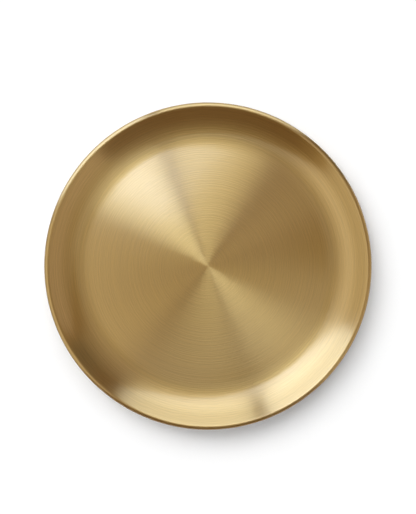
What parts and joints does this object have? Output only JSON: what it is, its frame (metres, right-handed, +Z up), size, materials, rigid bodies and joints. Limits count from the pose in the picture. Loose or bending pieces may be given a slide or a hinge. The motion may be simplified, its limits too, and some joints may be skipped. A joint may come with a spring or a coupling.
{
  "type": "round serving tray",
  "caption": "Shallow round serving tray in lathe-brushed brass: flat floor, coved flared wall, rim rolled over a wire, and non-slip feet taped under the floor.",
  "frame": {"origin": "on the tray's axis, in the plane of the feet's treads, which is the surface the tray stands on", "axes": "+Z up along the axis the pan is spun about; +X is the right and +Y the top of the picture"},
  "size_m": [0.32, 0.32, 0.019],
  "materials": {
    "brushed_brass": "concentric lathe-brushed satin",
    "galvanised_wire": "dull zinc",
    "dark_silicone": "matte moulded",
    "adhesive_foam": "matte foam"
  },
  "bodies": {
    "root": {"tray_pan": "brushed_brass", "rim_wire": "galvanised_wire", "foot_1": "dark_silicone", "foot_2": "dark_silicone", "foot_3": "dark_silicone", "foot_4": "dark_silicone", "adhesive_disc_1": "adhesive_foam", "adhesive_disc_2": "adhesive_foam", "adhesive_disc_3": "adhesive_foam", "adhesive_disc_4": "adhesive_foam"}
  },
  "joints": []
}
